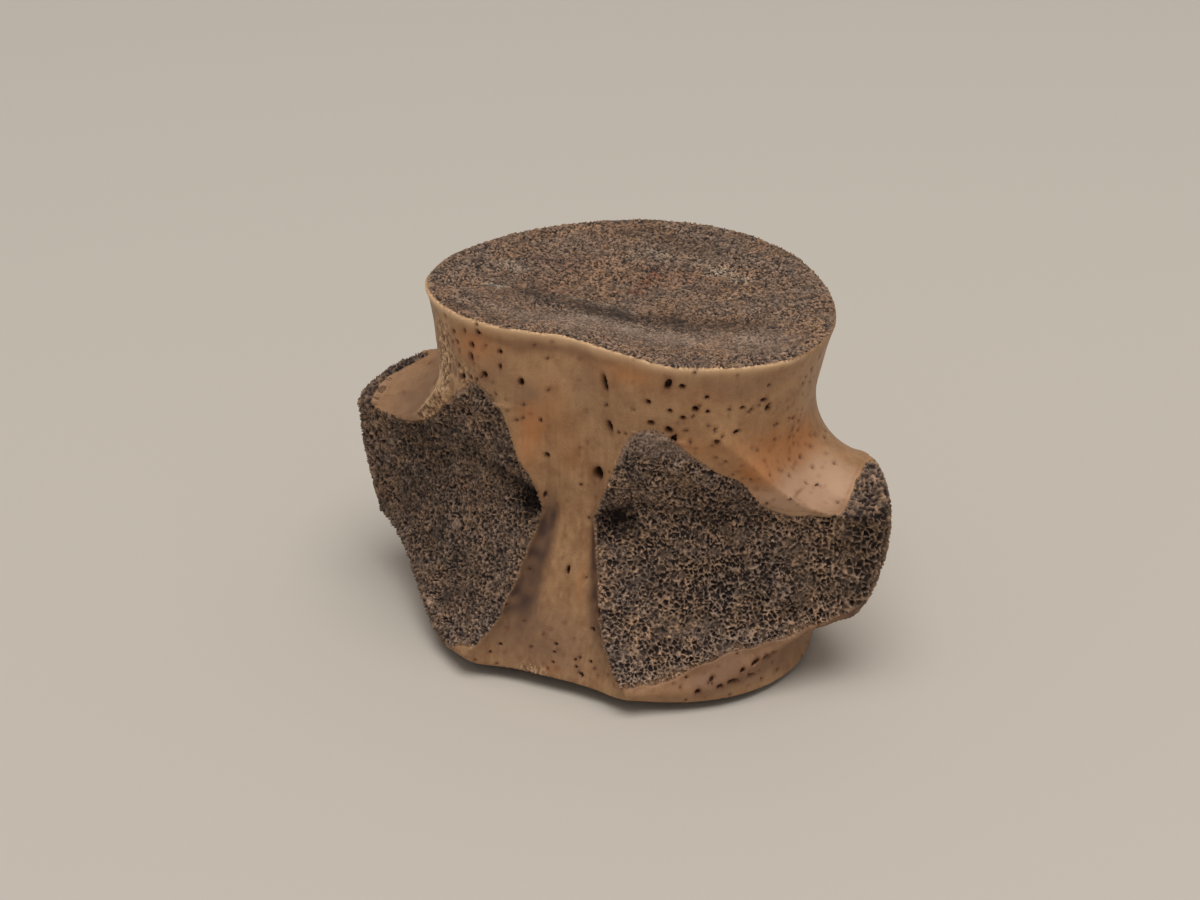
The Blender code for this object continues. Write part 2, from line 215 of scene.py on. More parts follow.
# Outer bone: small holes, the crumbled patch, lips, striae and the crack at the right shelf
PINHOLE_CELL = 0.5
PINHOLE_RADIUS = 0.27  # these three as shares of a cell
PINHOLE_SLOPE = 0.14
PINHOLE_STAIN = 0.55
PINHOLE_DEPTH = 0.15
PINHOLE_SHARE = 0.12  # part of the cells that have one, and what a porous patch adds
PINHOLE_SHARE_GAIN = 0.6
CRUMBLED_CELL = 0.42
CRUMBLED_SWELL = 0.06
CRUMBLED_DEPTH = 0.2
FACET_LIP = (0.1, 0.0, 0.3)  # height, middle, width outside the facet's edge
RIM_LIP = (1.0, 0.0, 0.42)
RIM_LIP_HEIGHT = 0.16
FIBRE_SIZE = 0.16
FIBRE_STRETCH = np.array([1.0, 1.0, 0.08])
FIBRE_RELIEF = 0.01
CRACK = (1.0, -0.3, 0.045)
CRACK_DEPTH = 0.05
GROOVE_SHADE_AND_TINT = (1.0, 7.8, 3.4)  # strength, height, spread of the dark purple tint in the canal's grooves, partly their own colour and partly painted shade

# Net of the skin
NET_PITCH = 0.18
MERGE = 1e-6  # metres
SETTLE_REACH = 0.6
SETTLE_ROUNDS = 11
FINE_BAND = 0.35  # how far the finer net reaches past the rough zones
RIM_ANGLES = 721
TABLE_SIDE = 64

# Zones of the skin, one for each piece
OUTER, UPPER, LOWER, RIGHT, LEFT = range(5)

# Holes of blood vessels in the back: x, height, width, length, lean to +X from upright, depth
HOLES = (
    (1.79, 14.27, 0.62, 0.9, 12, 0.75), (2.28, 20.6, 0.34, 1.1, -14, 0.6),
    (2.64, 17.8, 0.32, 0.75, -16, 0.5), (0.29, 7.76, 0.24, 0.55, 5, 0.45),
    (-3.37, 19.59, 0.36, 0.46, 0, 0.5), (-6.94, 21.26, 0.36, 0.36, 0, 0.45),
    (-7.03, 20.42, 0.34, 0.58, -8, 0.5), (-4.85, 21.29, 0.28, 0.28, 0, 0.4),
    (-4.82, 20.32, 0.2, 0.4, 0, 0.35), (-6.48, 22.25, 0.24, 0.34, 8, 0.35),
    (-6.0, 19.51, 0.46, 0.4, -50, 0.5), (-7.75, 18.88, 0.36, 0.36, 0, 0.45),
    (-1.72, 14.84, 0.32, 0.36, 30, 0.4), (-2.07, 17.22, 0.2, 0.24, 0, 0.3),
    (6.56, 21.4, 0.38, 0.78, 20, 0.5), (7.38, 21.36, 0.34, 0.3, 0, 0.4),
    (5.3, 20.08, 0.32, 0.3, 0, 0.4), (6.61, 19.6, 0.28, 0.24, 0, 0.35),
    (8.1, 19.84, 0.34, 0.32, 0, 0.45), (7.37, 19.19, 0.28, 0.26, 0, 0.35),
    (5.43, 18.62, 0.36, 0.34, 0, 0.45), (6.48, 18.23, 0.46, 0.4, 50, 0.5),
    (6.74, 17.66, 0.42, 0.34, 0, 0.45), (9.44, 17.83, 0.34, 0.3, 0, 0.4),
    (11.46, 20.0, 0.26, 0.26, 0, 0.3), (11.6, 19.34, 0.2, 0.42, 0, 0.35),
    (10.51, 19.72, 0.22, 0.2, 0, 0.3), (8.74, 20.63, 0.24, 0.22, 0, 0.25),
    (8.81, 19.71, 0.22, 0.2, 0, 0.3), (12.39, 16.72, 0.2, 0.6, 0, 0.25),
    (10.3, 18.21, 0.24, 0.22, 0, 0.3), (13.27, 13.47, 0.26, 0.12, 0, 0.2),
    (13.76, 13.04, 0.22, 0.1, 0, 0.15), (14.02, 13.42, 0.18, 0.08, 0, 0.15),
    (2.96, 5.88, 0.4, 0.55, 20, 0.4), (2.5, 4.57, 0.3, 0.24, 0, 0.35),
    (0.68, 14.02, 0.16, 0.16, 0, 0.25), (0.67, 13.31, 0.18, 0.18, 0, 0.25),
    (-1.83, 12.06, 0.18, 0.4, 0, 0.2), (3.28, 17.54, 0.18, 0.18, 0, 0.25),
    (-8.5, 21.68, 0.26, 0.26, 0, 0.3), (-7.52, 22.0, 0.18, 0.18, 0, 0.25),
    (-8.14, 21.07, 0.2, 0.22, 0, 0.25), (-7.11, 18.99, 0.26, 0.24, 0, 0.3),
    (11.23, 1.78, 0.5, 0.42, 0, 0.6), (10.61, 1.61, 0.3, 0.34, 0, 0.45),
    (9.5, 1.46, 0.28, 0.4, 0, 0.4), (12.77, 2.92, 0.36, 0.5, 20, 0.45),
    (13.05, 3.1, 0.24, 0.4, 20, 0.4), (11.65, 2.46, 0.24, 0.3, 0, 0.35),
    (12.24, 2.81, 0.3, 0.5, 30, 0.4), (11.97, 1.86, 0.26, 0.26, 0, 0.35),
    (10.05, 2.15, 0.2, 0.3, 0, 0.25), (1.57, 2.43, 0.16, 0.2, 0, 0.25),
    (2.63, 2.58, 0.2, 0.18, 0, 0.3), (0.14, 3.12, 0.22, 0.16, 0, 0.3),
    (0.07, 2.61, 0.18, 0.16, 0, 0.25), (-3.58, 2.4, 0.18, 0.18, 0, 0.25),
    (-4.18, 1.85, 0.16, 0.16, 0, 0.25), (1.69, 2.02, 0.18, 0.16, 0, 0.25),
    (2.16, 1.6, 0.16, 0.26, 0, 0.3), (0.08, 1.97, 0.16, 0.16, 0, 0.25),
)

# Patches of the outer bone: x, height, reach across, reach up, strength
POROUS = ((8.9, 18.8, 3.4, 2.4, 0.8), (12.5, 15.0, 2.4, 2.2, 0.9), (-7.7, 20.2, 2.0, 2.0, 1.0),
          (0.4, 2.2, 3.4, 1.6, 0.8), (11.4, 2.2, 2.6, 2.0, 1.0), (2.9, 3.2, 2.0, 2.0, 0.8))
CRUMBLED = ((-9.7, 20.6, 0.7, 1.3, 0.8), (-9.6, 18.9, 1.0, 1.3, 1.0), (-10.2, 17.2, 1.1, 1.2, 1.0),
            (-11.2, 15.7, 1.1, 1.0, 1.0), (-12.0, 14.8, 0.9, 0.6, 0.8), (-7.5, 18.9, 0.7, 0.7, 0.6),
            (-1.2, 1.2, 0.8, 0.5, 0.8))
ORANGE = ((-6.6, 21.3, 1.7, 1.1, 1.0), (-2.7, 16.3, 0.8, 2.0, 1.0), (-1.4, 18.1, 1.4, 1.6, 0.5),
          (4.1, 21.7, 1.8, 0.8, 0.8), (8.4, 17.2, 2.0, 1.0, 0.6), (8.3, 20.6, 1.6, 1.0, 0.35),
          (12.2, 16.0, 1.8, 1.6, 0.9), (11.4, 15.2, 1.6, 0.9, 0.5), (-0.2, 1.6, 0.6, 0.4, 0.8),
          (0.0, 15.4, 1.2, 1.5, 0.35), (9.0, 2.4, 3.0, 0.8, 0.4), (1.3, 7.0, 0.16, 1.5, 0.6),
          (-9.2, 16.6, 1.2, 0.8, 0.5))
GREY = ((-2.9, 18.8, 0.9, 0.8, 0.8), (-8.8, 18.8, 1.8, 2.2, 0.3), (-14.5, 14.0, 2.6, 1.6, 0.5),
        (9.5, 21.2, 3.0, 0.9, 0.45), (-5.0, 20.0, 1.5, 1.5, 0.3), (0.9, 20.0, 1.0, 1.6, 0.35),
        (-0.5, 3.2, 3.6, 2.2, 0.7), (10.5, 2.2, 3.4, 1.2, 0.8))
# The next list is partly the right shelf's own pinkish colour and partly painted light, which makes that lit
# side paler.
PINK_AND_PAINTED_LIGHT_PATCHES = ((14.4, 13.1, 2.2, 1.0, 1.0), (12.2, 13.4, 1.3, 0.6, 0.6), (13.8, 14.2, 1.6, 0.9, 0.7))
# The next list is painted shade: a brown band just under the upper rim, and darker patches low at the
# canal's fan, under the right facet and on the left shelf.
PAINTED_SHADE_PATCHES = ((-4.8, 22.0, 2.6, 0.4, 0.9), (-1.2, 22.0, 2.6, 0.36, 0.9), (2.2, 22.0, 2.0, 0.3, 0.6),
          (-1.6, 2.4, 2.6, 1.4, 0.4), (10.5, 2.2, 3.0, 0.9, 0.4), (-12.6, 14.6, 1.4, 0.8, 0.3))

# Darker and paler patches of the arch facets: x, height, reach across, reach up, strength
DARK_BROKEN = ((8.6, 12.2, 3.0, 0.8, 0.8), (9.6, 7.7, 3.0, 1.6, 0.5), (5.5, 9.3, 2.0, 1.2, 0.3),
               (-12.7, 11.8, 2.2, 2.4, 0.7), (-9.0, 13.6, 1.6, 0.8, 0.6), (-5.4, 12.8, 1.8, 0.6, 0.9),
               (-3.2, 12.2, 1.4, 0.6, 0.9), (-8.5, 4.5, 2.5, 1.5, 0.4), (17.6, 11.5, 1.4, 3.6, 0.8),
               (-16.6, 14.4, 1.6, 1.4, 1.0), (-13.5, 7.0, 3.0, 3.0, 0.3))
PALE_BROKEN = ((-5.8, 9.1, 1.8, 1.5, 0.6), (-7.5, 9.0, 1.5, 1.2, 0.3), (12.5, 9.5, 2.5, 2.0, 0.3),
               (5.5, 15.0, 1.8, 2.0, 0.3), (3.6, 6.0, 1.4, 2.0, 0.3))

# Patches of the upper face: x, y, reach across, reach forward, strength
RED_SPOTS = ((-0.6, 4.9, 0.5, 0.4, 1.0), (-0.65, 6.3, 0.5, 0.8, 1.0), (-0.5, 7.7, 0.4, 0.4, 0.7),
             (-6.5, 6.0, 2.2, 1.6, 0.3), (1.0, 8.5, 3.0, 1.6, 0.25), (-6.0, 2.4, 2.0, 1.2, 0.25))
CHALKY_SPOTS = ((-8.4, 0.15, 0.55, 0.3, 1.0), (-8.9, 3.7, 1.0, 0.7, 0.6), (3.2, 9.7, 1.2, 0.6, 0.8),
                (5.0, 9.0, 0.8, 0.5, 0.6), (1.4, 10.6, 1.2, 0.6, 0.4), (-1.7, 10.4, 0.9, 0.5, 0.4),
                (-1.0, -1.0, 0.8, 0.35, 0.7), (-2.4, -0.6, 0.6, 0.3, 0.6), (-3.6, 1.7, 0.9, 0.22, 0.6),
                (-1.8, 1.65, 1.0, 0.2, 0.7), (0.2, 1.5, 0.8, 0.2, 0.6), (1.6, -1.5, 0.9, 0.4, 0.4))
# The next list is mostly painted shade: a band of darker patches across the upper face between its middle
# and its back rim, where the real face dips, and two more darker patches.
DARK_AND_SHADE_SPOTS = ((-6.5, 0.9, 2.0, 1.1, 0.4), (-4.6, 0.5, 1.8, 1.1, 0.6), (-1.9, 0.4, 1.9, 1.1, 0.7),
              (0.9, 0.6, 1.9, 1.2, 0.8), (4.0, 1.1, 1.9, 1.3, 0.8), (6.8, 1.9, 1.7, 1.3, 0.6),
              (9.2, 2.7, 1.4, 0.9, 0.3), (-7.5, -4.6, 2.6, 0.7, 0.5), (-2.0, 13.0, 5.0, 1.2, 0.4))
SMOOTH_SPOTS = ((-1.5, -2.6, 3.5, 1.5, 0.7), (4.5, -1.6, 4.0, 1.4, 0.9), (9.5, 0.4, 2.6, 1.6, 0.7),
                (-5.5, -3.2, 3.0, 1.2, 0.4))


def rim_radius(terms, angle):
    """Radius of a joint face's outline at an angle in radians."""
    return sum(term * np.cos(order * angle) for order, term in enumerate(terms))


def bump(value, height, middle, width):
    """A smooth bump of a height round a middle."""
    return height * np.exp(-(((value - middle) / width) ** 2))


def smooth_step(value, start=0.0, end=1.0):
    share = np.clip((value - start) / (end - start), 0.0, 1.0)
    return share * share * (3.0 - 2.0 * share)


def along(table, value):
    """Value of a short table at each point, with the corners rounded by averaging near by."""
    places, heights = np.array(table).T
    reach = TABLE_ROUNDING * (places[-1] - places[0])
    offsets = np.linspace(-reach, reach, 5)
    return np.mean([np.interp(value + offset, places, heights) for offset in offsets], axis=0)


def hollow_sweep(share):
    """Quarter of an ellipse, hollow, from 1 at the edge of the shelf to 0 on the neck."""
    rest = 1.0 - np.clip(share, 0.0, 1.0)
    return 1.0 - np.sqrt(np.clip(1.0 - rest * rest, 0.0, 1.0))


def smaller(first, second, rounding):
    """The smaller of two depths, with a round edge where they are alike."""
    overlap = np.clip(rounding - np.abs(first - second), 0.0, None) / rounding
    return np.minimum(first, second) - overlap * overlap * rounding / 4.0


def axis_x(height):
    return TOP_CENTRE_X * height / LENGTH


def axis_y(height):
    return BASE_CENTRE_Y + (TOP_CENTRE_Y - BASE_CENTRE_Y) * height / LENGTH


def polar(x, y, height):
    """Signed angle in radians and distance from the bone's axis."""
    across = x - axis_x(height)
    forward = y - axis_y(height)
    return np.arctan2(across, -forward), np.hypot(across, forward)


def spool_radius(signed_angle, height):
    """Radius of the centrum's drum, without the canal, facets and flanges."""
    share = np.clip(height / LENGTH, 0.0, 1.0)
    degrees = np.degrees(signed_angle)
    worn = bump(degrees, *RIM_HOLLOW) + bump(degrees, *RIM_BULGE)
    top = rim_radius(TOP_RIM, signed_angle) + worn * smooth_step(1.0 - (1.0 - share) / RIM_MARKS)
    worn = sum(bump(degrees, *place) for place in BASE_WEAR)
    base = rim_radius(BASE_RIM, signed_angle) + worn * smooth_step(1.0 - share / RIM_MARKS)
    radius = base + (top - base) * share
    back = (0.5 + 0.5 * np.cos(signed_angle)) ** WAIST_BACK_POWER
    belly = smooth_step((np.abs(degrees) - 90.0) / 90.0)
    waist = WAIST_SIDE * (1.0 - back) + (WAIST_BELLY - WAIST_SIDE) * belly
    radius -= waist * (1.0 - np.abs(2.0 * share - 1.0) ** WAIST_SHARPNESS)
    radius -= back * bump(height, *WAIST_BACK)
    return radius + bump(np.abs(degrees), KEEL, 180.0, KEEL_WIDTH) * np.sin(np.pi * share)


def canal_half_width(height):
    """Half the width of the canal's floor."""
    up = np.clip(height - CANAL_NARROW_HEIGHT, 0.0, None)
    down = np.clip(CANAL_NARROW_HEIGHT - height, 0.0, None)
    fan = np.clip(CANAL_FAN_START - height, 0.0, None)
    return CANAL_HALF_WIDTH + CANAL_WIDEN_UP * up + CANAL_WIDEN_DOWN * down + CANAL_FAN * fan * fan


def canal_edge_y(height):
    """How far back the edges of the canal lie. They rise from the narrows to both ends."""
    rise = height - CANAL_NARROW_HEIGHT
    soft = np.sqrt(rise * rise + 4.0 * CANAL_BEND * CANAL_BEND)
    up = (soft + rise) / 2.0 - CANAL_BEND
    down = (soft - rise) / 2.0 - CANAL_BEND
    return CANAL_EDGE_Y + CANAL_EDGE_UP * up + CANAL_EDGE_DOWN * down


def edge_retreat(height):
    return CANAL_EDGE_RETREAT * smooth_step(height, *CANAL_EDGE_RETREAT_HEIGHTS)


def facet_y(x, height):
    """The surface of the arch facets, hollow along their length, with a pit at the canal's narrows."""
    beyond = np.abs(x) - canal_half_width(height)
    y = canal_edge_y(height) + along(FACET_SLOPE, height) * beyond
    pit = bump(height, PIT_DEPTH, PIT_HEIGHT, PIT_SPREAD) * bump(beyond, 1.0, PIT_OUT, PIT_SPREAD)
    return y + pit + edge_retreat(height) * bump(beyond, 1.0, 0.0, CANAL_EDGE_RETREAT_REACH)


def broken_depth(x, height):
    """How far the broken surface lies under the facets' plain one, with mounds about 2.6 mm apart."""
    depth = np.full_like(height, BROKEN_SINK)
    for share, length, lean, start in LUMP_WAVES:
        turn = 2.0 * np.pi / length
        wave = np.sin(turn * (x + lean * height) + start) * np.sin(turn * (height - lean * x))
        depth += LUMP_HEIGHT * share * wave
    return depth * smooth_step((np.abs(x) - canal_half_width(height)) / BROKEN_START)


def canal_y(x, height):
    """The canal's floor: a shallow trough between its edges, with a ridge and two grooves along it."""
    signed_share = np.clip(x / canal_half_width(height), -1.0, 1.0)
    sink = CANAL_SINK + CANAL_SINK_GAIN * np.abs(height - CANAL_NARROW_HEIGHT)
    ridge = bump(height, *CANAL_RIDGE) * bump(signed_share, 1.0, 0.0, CANAL_RIDGE_SHARE)
    held = 1.0 - np.abs(signed_share) ** CANAL_TROUGH_POWER
    y = canal_edge_y(height) + edge_retreat(height) * (1.0 - held)
    return y + (sink + sum(canal_grooves(x, height))) * held - ridge


def canal_grooves(x, height):
    """Depths of the left and the right groove beside the canal's ridge."""
    signed_share = x / canal_half_width(height)
    reach = bump(height, 1.0, GROOVE_MIDDLE, GROOVE_SPREAD)
    return bump(signed_share, *LEFT_GROOVE) * reach, bump(signed_share, *RIGHT_GROOVE) * reach


def flange_reach(height):
    """How far out the flanges reach at a height."""
    above = np.clip(height - FLANGE_HEIGHT, 0.0, None)
    below = np.clip(FLANGE_HEIGHT - height, 0.0, None)
    return FLANGE_REACH - FLANGE_ROUND_UP * above ** 3 - FLANGE_ROUND_DOWN * below ** 2


def buttress(signed_angle, height, drum, x):
    """What stands out from the drum: the stumps of the arch and the flanges."""
    signed = np.degrees(signed_angle)
    degrees = np.abs(signed)
    upper = along(UPPER_EDGE, degrees) + bump(signed, *RIGHT_SHELF_DROP) + bump(signed, *LEFT_SHELF_RIM)
    lower = along(LOWER_EDGE, degrees)
    held = np.clip(height, lower, upper)
    extra = np.clip(flange_reach(held) - drum, 0.0, None) * along(FLANGE_SPAN, degrees)
    extra = extra * (1.0 + bump(signed, *LEFT_FLANGE_GAIN))
    corner = np.clip(1.0 - (upper - held) / SHELF_CORNER_REACH, 0.0, 1.0) ** 2
    corner *= smooth_step(np.abs(x), *SHELF_CORNER_SIDE) * smooth_step(88.0 - degrees, 0.0, 10.0)
    extra = extra - corner * np.where(x > 0.0, SHELF_CORNER_RIGHT, SHELF_CORNER_LEFT)
    extra = extra * hollow_sweep((height - upper) / SHELF_FILLET)
    return extra * hollow_sweep((lower - height) / UNDER_FILLET)


def wall_depths(x, y, height):
    """How deep points lie under the drum with its flanges, and under the canal's floor and facets."""
    signed_angle, radius = polar(x, y, height)
    drum = spool_radius(signed_angle, height)
    outer = drum + buttress(signed_angle, height, drum, x) - radius
    in_canal = np.abs(x) < canal_half_width(height)
    floor = np.where(in_canal, canal_y(x, height), facet_y(x, height))
    slope = along(FACET_SLOPE, height)
    behind = (y - floor) / np.sqrt(1.0 + slope * slope)
    behind -= broken_depth(x, height) * smooth_step((outer - behind) / BROKEN_EDGE)
    return outer, behind


def base_rim_height(signed_angle):
    back = (0.5 + 0.5 * np.cos(signed_angle)) ** BASE_LIFT_POWER
    return BASE_LIFT + (BASE_LIFT_BACK - BASE_LIFT) * back


def rim_table(height_of):
    """Distance of a joint face's rim from the axis for a full turn of signed angles, found by halving."""
    angles = np.linspace(-np.pi, np.pi, RIM_ANGLES)
    height = height_of(angles)
    inside = np.full_like(angles, 3.0)
    outside = np.full_like(angles, 24.0)
    for _ in range(30):
        middle = (inside + outside) / 2.0
        x = axis_x(height) + middle * np.sin(angles)
        y = axis_y(height) - middle * np.cos(angles)
        within = np.minimum(*wall_depths(x, y, height)) > 0.0
        inside = np.where(within, middle, inside)
        outside = np.where(within, outside, middle)
    return angles, inside


TOP_RIM_TABLE = rim_table(lambda angles: np.full_like(angles, LENGTH))
BASE_RIM_TABLE = rim_table(base_rim_height)


def face_depths(x, y, height):
    """How deep points lie under the upper joint face, and above the lower one."""
    signed_angle, radius = polar(x, y, np.full_like(x, LENGTH))
    share = np.clip(radius / np.interp(signed_angle, *TOP_RIM_TABLE), 0.0, 1.0)
    top = LENGTH + TOP_SLOPE_X * x + TOP_SLOPE_Y * y - TOP_DISH * (1.0 - share ** 2) ** TOP_DISH_POWER
    signed_angle, radius = polar(x, y, np.zeros_like(x))
    share = radius / np.interp(signed_angle, *BASE_RIM_TABLE)
    base = base_rim_height(signed_angle) * smooth_step(share, BASE_FLAT, 1.0)
    return top - height, height - base


def rounded_top(x, height):
    """1 where the arch facets' upper ends run out gently into the outer bone, 0 elsewhere."""
    return smooth_step(height, *FACET_EDGE_TOP_HEIGHTS) * smooth_step(FACET_EDGE_TOP_SIDE - np.abs(x))


def bone_depth(points):
    """How deep points lie inside the bone, below 0 outside it."""
    x, y, height = points.T
    outer, behind = wall_depths(x, y, height)
    grown = smooth_step((np.abs(x) - FLANGE_EDGE_START) / FLANGE_EDGE_GROWTH)
    edge = FACET_EDGE + (FACET_EDGE_LOW - FACET_EDGE) * smooth_step(7.0 - height, 0.0, 3.0)
    edge += (FACET_EDGE_TOP - FACET_EDGE) * rounded_top(x, height)
    in_canal = smooth_step(canal_half_width(height) + 1.2 - np.abs(x), 0.0, 1.2)
    edge += (CANAL_EDGE_TOP - edge) * in_canal * smooth_step(height, 13.0, 15.0)
    wall = smaller(outer, behind, edge + (FLANGE_EDGE - edge) * grown)
    return smaller(wall, np.minimum(*face_depths(x, y, height)), RIM_EDGE)


def settle(mesh):
    """Slides each corner of a net along its normal, out or in, until it lies on the bone's surface."""
    points = points_of(mesh)
    normals = normals_of(mesh)
    outside = np.full(len(points), SETTLE_REACH)
    inside = -outside
    for _ in range(SETTLE_ROUNDS):
        middle = (inside + outside) / 2.0
        within = bone_depth(points + normals * middle[:, None]) > 0.0
        inside = np.where(within, middle, inside)
        outside = np.where(within, outside, middle)
    found = np.abs(inside) < 0.98 * SETTLE_REACH
    place_points(mesh, points + normals * np.where(found, inside, 0.0)[:, None])


def random_table(seed, channels):
    return np.random.default_rng(seed).random((TABLE_SIDE, TABLE_SIDE, TABLE_SIDE, channels))


def soft_noise(points, size, seed):
    """Smooth noise from -1 to 1 with bumps of about a size."""
    table = random_table(seed, 1)[..., 0]
    places = points / size
    corner = np.floor(places).astype(int)
    share = places - corner
    share = share * share * (3.0 - 2.0 * share)
    total = np.zeros(len(points))
    for offset in itertools.product((0, 1), repeat=3):
        weight = np.prod(np.where(offset, share, 1.0 - share), axis=1)
        total += weight * table[tuple(((corner + offset) % TABLE_SIDE).T)]
    return 2.0 * total - 1.0


def cell_noise(points, size, seed):
    """Distances to the nearest and second nearest of scattered centres, and the nearest one's number."""
    table = random_table(seed, 4)
    places = points / size
    corner = np.floor(places).astype(int)
    nearest = np.full(len(points), 9.0)
    second = nearest.copy()
    number = np.zeros(len(points))
    for offset in itertools.product((-1, 0, 1), repeat=3):
        cell = corner + offset
        drawn = table[tuple((cell % TABLE_SIDE).T)]
        distance = np.sqrt(((cell + drawn[:, :3] - places) ** 2).sum(axis=1))
        closer = distance < nearest
        second = np.where(closer, nearest, np.minimum(second, distance))
        number = np.where(closer, drawn[:, 3], number)
        nearest = np.where(closer, distance, nearest)
    return nearest, second, number


def zones(points):
    """Distances inside the rough zones, below 0 outside them: upper face, lower face, arch facets."""
    x, y, height = points.T
    side = np.abs(x)
    outer, behind = wall_depths(x, y, height)
    top, base = face_depths(x, y, height)
    wall = np.minimum(outer, behind)
    wander = EDGE_WANDER * soft_noise(points, 0.7, 11)
    right = x > 0.0
    beside = side - canal_half_width(height) + np.where(right, CANAL_RIM_RIGHT, CANAL_RIM_LEFT)
    ceiling = np.where(right, along(RIGHT_FACET_TOP, side), along(LEFT_FACET_TOP, side))
    wrap = 0.1 + 0.9 * rounded_top(x, height)
    wrap += 2.2 * smooth_step(-x, 6.0, 7.5) * smooth_step(11.0 - height, 0.0, 4.0)
    facet = np.minimum(np.minimum(outer - behind + wrap, beside), ceiling - height)
    start = np.where(right, TIP_START_RIGHT, along(TIP_START_LEFT, y))
    tip = np.minimum(side - start, TIP_END_Y - y)
    low = np.where(right, along(RIGHT_FACET_LOW, side), along(LEFT_FACET_LOW, side))
    facet = np.minimum(np.maximum(facet, tip), height - low) + wander
    rims = np.minimum(top, base) - 0.2
    facet = np.minimum(facet, rims)
    return wall - top + wander * 0.5, wall - base + wander * 0.5, facet


def fine_net(node):
    """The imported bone's closed skin as an even net of small quads."""
    work = bmesh.new()
    work.from_mesh(node.data)
    bmesh.ops.remove_doubles(work, verts=work.verts, dist=MERGE)
    mesh = bpy.data.meshes.new("skin")
    work.to_mesh(mesh)
    work.free()
    carrier = bpy.data.objects.new("skin", mesh)
    bpy.context.scene.collection.objects.link(carrier)
    remesh = carrier.modifiers.new("even_net", "REMESH")
    remesh.mode = "VOXEL"
    remesh.voxel_size = NET_PITCH * MM
    seen = carrier.evaluated_get(bpy.context.evaluated_depsgraph_get())
    net = bpy.data.meshes.new_from_object(seen)
    bpy.data.objects.remove(carrier)
    return net


def points_of(mesh):
    """A mesh's corners in the bone's own coordinates."""
    points = np.empty(3 * len(mesh.vertices))
    mesh.vertices.foreach_get("co", points)
    return points.reshape(-1, 3) / MM - MIDDLE


def place_points(mesh, points):
    mesh.vertices.foreach_set("co", ((points + MIDDLE) * MM).ravel())
    mesh.update()


def normals_of(mesh):
    normals = np.empty(3 * len(mesh.vertices))
    mesh.vertex_normals.foreach_get("vector", normals)
    return normals.reshape(-1, 3)


def split_faces(mesh, wanted):
    """Splits each face that has a wanted corner into four."""
    work = bmesh.new()
    work.from_mesh(mesh)
    edges = set()
    for face in work.faces:
        if any(wanted[corner.index] for corner in face.verts):
            edges.update(face.edges)
    bmesh.ops.subdivide_edges(work, edges=list(edges), cuts=1, use_grid_fill=True)
    work.to_mesh(mesh)
    work.free()


def hole_field(points):
    """How open the named holes are at each point, from 0 to 1, how deep they go, and their stained rims."""
    x, y, height = points.T
    opening = np.zeros(len(points))
    depth = np.zeros(len(points))
    stain = np.zeros(len(points))
    back = y < 0.0
    for at_x, at_height, width, length, lean, deep in HOLES:
        near = back & (np.abs(x - at_x) < 1.2) & (np.abs(height - at_height) < 1.2)
        over = x[near] - at_x
        up = height[near] - at_height
        turn = np.radians(lean)
        across = over * np.cos(turn) - up * np.sin(turn)
        lengthwise = over * np.sin(turn) + up * np.cos(turn)
        share = np.hypot(across / (width / 2.0), lengthwise / (length / 2.0))
        inside = 1.0 - smooth_step(share, 0.55, 1.25)
        opening[near] = np.maximum(opening[near], inside)
        depth[near] = np.maximum(depth[near], inside * deep)
        stain[near] = np.maximum(stain[near], 1.0 - smooth_step(share, 0.9, 2.4))
    return opening, depth, stain


def patches(across, lengthwise, places):
    """Sum of soft oval patches, from 0 to 1, each two middles, two reaches and a strength."""
    total = np.zeros(len(across))
    for first, second, first_reach, second_reach, strength in places:
        away = ((across - first) / first_reach) ** 2 + ((lengthwise - second) / second_reach) ** 2
        total += strength * np.exp(-away)
    return np.clip(total, 0.0, 1.0)


def pores(points, size, seed):
    """A network of thin struts round pores: how far into a pore each point lies, times its depth."""
    nearest, second, number = cell_noise(points, size, seed)
    return smooth_step(second - nearest, 0.0, PORE_WIDTH) * (PORE_LEAST + (1.0 - PORE_LEAST) * number)


